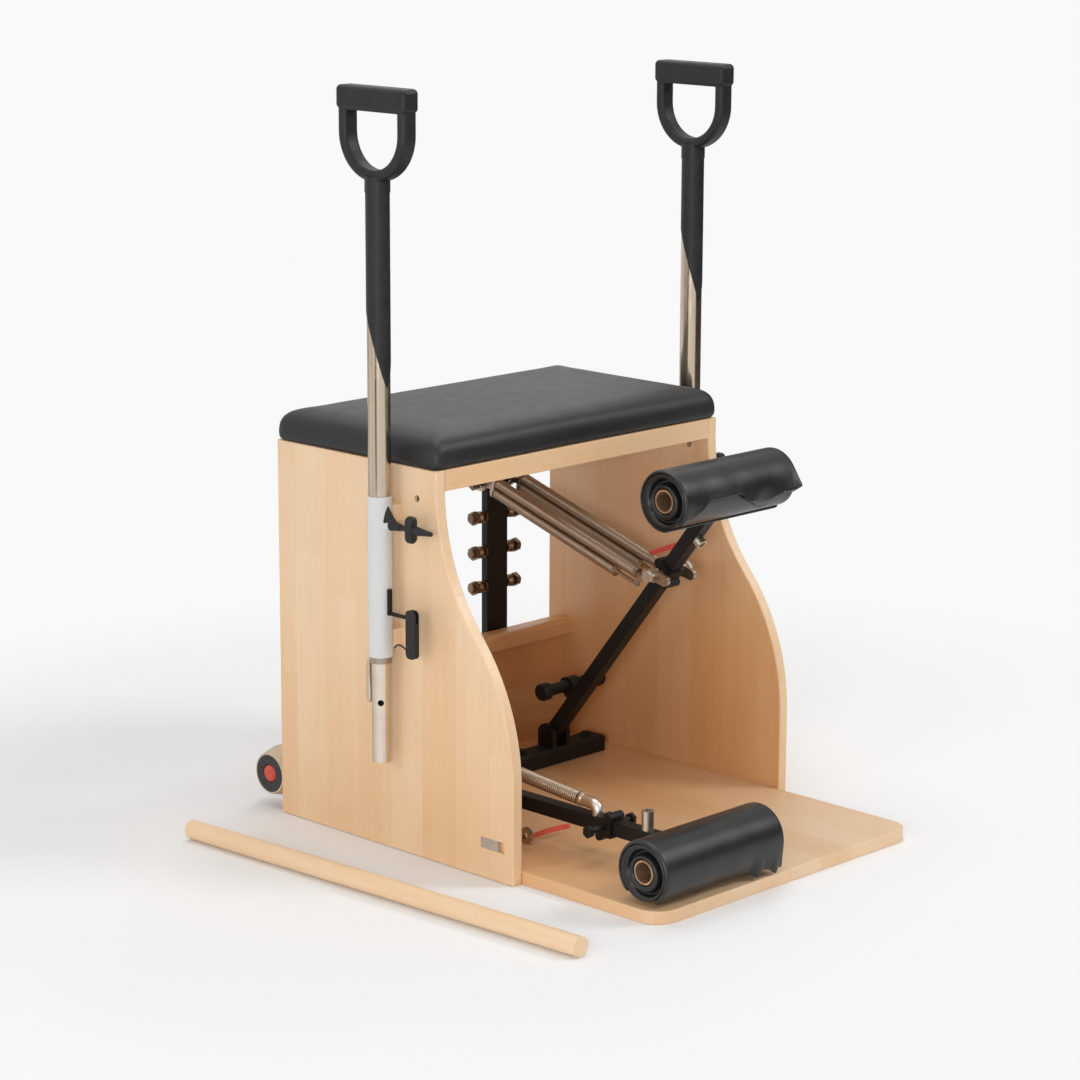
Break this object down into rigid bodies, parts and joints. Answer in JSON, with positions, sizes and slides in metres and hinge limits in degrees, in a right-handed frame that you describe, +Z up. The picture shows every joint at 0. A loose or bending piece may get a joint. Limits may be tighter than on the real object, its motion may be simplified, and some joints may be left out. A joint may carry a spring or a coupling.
{
  "type": "pilates chair",
  "caption": "Wooden pilates chair with a padded seat, sprung split pedals with rolled pads, sliding D-grip handles, spring posts, transport wheels and a loose floor dowel",
  "frame": {"origin": "the middle of the base board's underside, on the floor", "axes": "+Z up, the front of the chair and the pedals towards -Y, +X to the right pedal as a person standing in front and looking at the chair sees it"},
  "size_m": [0.816, 0.811, 1.0805],
  "materials": {
    "birch": "clear lacquer",
    "seat_leather": "matt upholstery leather",
    "pad_leather": "satin padded cover",
    "black_steel": "black powder coat",
    "white_steel": "white gloss coat",
    "pole_steel": "polished tube",
    "spring_steel": "bright spring wire and fittings",
    "bronze": "darkened bronze",
    "zinc_steel": "zinc plated",
    "black_plastic": "moulded grip",
    "nylon": "plain bush plastic",
    "red_strap": "woven strap",
    "wheel_grey": "moulded wheel"
  },
  "bodies": {
    "chair_frame": {"left_side_panel": "birch", "right_side_panel": "birch", "base_board": "birch", "rear_panel": "birch", "rear_cap": "birch", "seat_deck": "birch", "seat_cushion": "seat_leather", "joint_dowels": "birch", "spring_posts": "black_steel", "spring_studs": "bronze", "frame_bolts": "zinc_steel", "pivot_blocks": "black_steel", "pivot_pins": "zinc_steel", "handle_sleeves": "white_steel", "sleeve_brackets": "birch", "sleeve_bushes": "nylon", "frame_screws": "zinc_steel", "clamp_brackets": "black_steel", "rod_clips": "zinc_steel", "keeper_plates": "zinc_steel", "wheel_brackets": "black_steel", "wheel_axles": "zinc_steel", "loose_spring": "spring_steel", "loose_spring_ends": "spring_steel", "loose_pull_tab": "red_strap"},
    "right_spring_low": {"right_spring_links": "spring_steel", "right_pull_tab": "red_strap", "right_springs": "spring_steel"},
    "right_spring_top": {"right_spring_hooks": "spring_steel"},
    "floor_dowel": {"floor_dowel": "birch"},
    "left_handle": {"left_pole_tube": "pole_steel", "left_pole_rod": "pole_steel", "left_grip_sleeve": "black_plastic", "left_d_grip": "black_plastic"},
    "left_pull_pin": {"left_pull_pin": "black_plastic"},
    "left_clamp_lever": {"left_clamp_lever": "black_plastic"},
    "left_pedal": {"left_pedal_arm": "black_steel", "left_pedal_tube": "bronze", "left_pedal_pad": "pad_leather", "left_spring_collar": "black_steel", "left_cross_bar": "black_steel", "left_arm_stud": "zinc_steel", "left_spring_pin": "zinc_steel", "parked_spring": "spring_steel", "parked_spring_ends": "spring_steel"},
    "left_wheel": {"left_wheel": "wheel_grey"},
    "right_handle": {"right_pole_tube": "pole_steel", "right_pole_rod": "pole_steel", "right_grip_sleeve": "black_plastic", "right_d_grip": "black_plastic"},
    "right_pull_pin": {"right_pull_pin": "black_plastic"},
    "right_clamp_lever": {"right_clamp_lever": "black_plastic"},
    "right_pedal": {"right_pedal_arm": "black_steel", "right_pedal_tube": "bronze", "right_pedal_pad": "pad_leather", "right_spring_collar": "black_steel", "right_cross_bar": "black_steel", "right_arm_stud": "zinc_steel", "right_spring_pin": "zinc_steel"},
    "right_wheel": {"right_wheel": "wheel_grey"}
  },
  "joints": [
    {"name": "left_handle_slide", "type": "slide", "parent": "chair_frame", "child": "left_handle", "axis": [0, 0, 1], "range_m": [0, 0.1]},
    {"name": "left_pin_pull", "type": "slide", "parent": "chair_frame", "child": "left_pull_pin", "axis": [0, -1, 0], "range_m": [0, 0.008], "stiffness_N_per_m": 900, "springref_m": -0.004},
    {"name": "left_clamp_swing", "type": "hinge", "parent": "chair_frame", "child": "left_clamp_lever", "pos_m": [-0.32, 0.054, 0.355], "axis": [-1, 0, 0], "range_deg": [0, 90]},
    {"name": "left_wheel_spin", "type": "hinge", "parent": "chair_frame", "child": "left_wheel", "pos_m": [-0.268, 0.402, 0.05], "axis": [1, 0, 0], "continuous": true},
    {"name": "right_handle_slide", "type": "slide", "parent": "chair_frame", "child": "right_handle", "axis": [0, 0, 1], "range_m": [0, 0.1]},
    {"name": "right_pin_pull", "type": "slide", "parent": "chair_frame", "child": "right_pull_pin", "axis": [0, -1, 0], "range_m": [0, 0.008], "stiffness_N_per_m": 900, "springref_m": -0.004},
    {"name": "right_clamp_swing", "type": "hinge", "parent": "chair_frame", "child": "right_clamp_lever", "pos_m": [0.32, 0.054, 0.355], "axis": [-1, 0, 0], "range_deg": [0, 90]},
    {"name": "right_wheel_spin", "type": "hinge", "parent": "chair_frame", "child": "right_wheel", "pos_m": [0.268, 0.402, 0.05], "axis": [1, 0, 0], "continuous": true},
    {"name": "left_pedal_swing", "type": "hinge", "parent": "chair_frame", "child": "left_pedal", "pos_m": [-0.14, 0.226, 0.064], "axis": [-1, 0, 0], "range_deg": [0, 51.7]},
    {"name": "right_pedal_swing", "type": "hinge", "parent": "chair_frame", "child": "right_pedal", "pos_m": [0.14, 0.226, 0.064], "axis": [1, 0, 0], "range_deg": [0, 51.7], "stiffness_Nm_per_rad": 60, "springref_deg": -45.84},
    {"name": "right_spring_swing", "type": "hinge", "parent": "right_pedal", "child": "right_spring_low", "pos_m": [0.14, -0.00332, 0.35437], "axis": [1, 0, 0], "range_deg": [-29, 0.5]},
    {"name": "right_spring_stretch", "type": "slide", "parent": "right_spring_low", "child": "right_spring_top", "axis": [0, 0.9728, 0.2318], "range_m": [-0.003, 0.264], "deforming": ["right_springs"]},
    {"name": "dowel_lift", "type": "slide", "parent": "chair_frame", "child": "floor_dowel", "axis": [0, 0, 1], "range_m": [0, 0.3]}
  ],
  "couplings": [
    {"joint": "right_spring_swing", "follows": "right_pedal_swing", "ratio": -0.54471},
    {"joint": "right_spring_stretch", "follows": "right_pedal_swing", "m_per_rad": 0.28395}
  ]
}
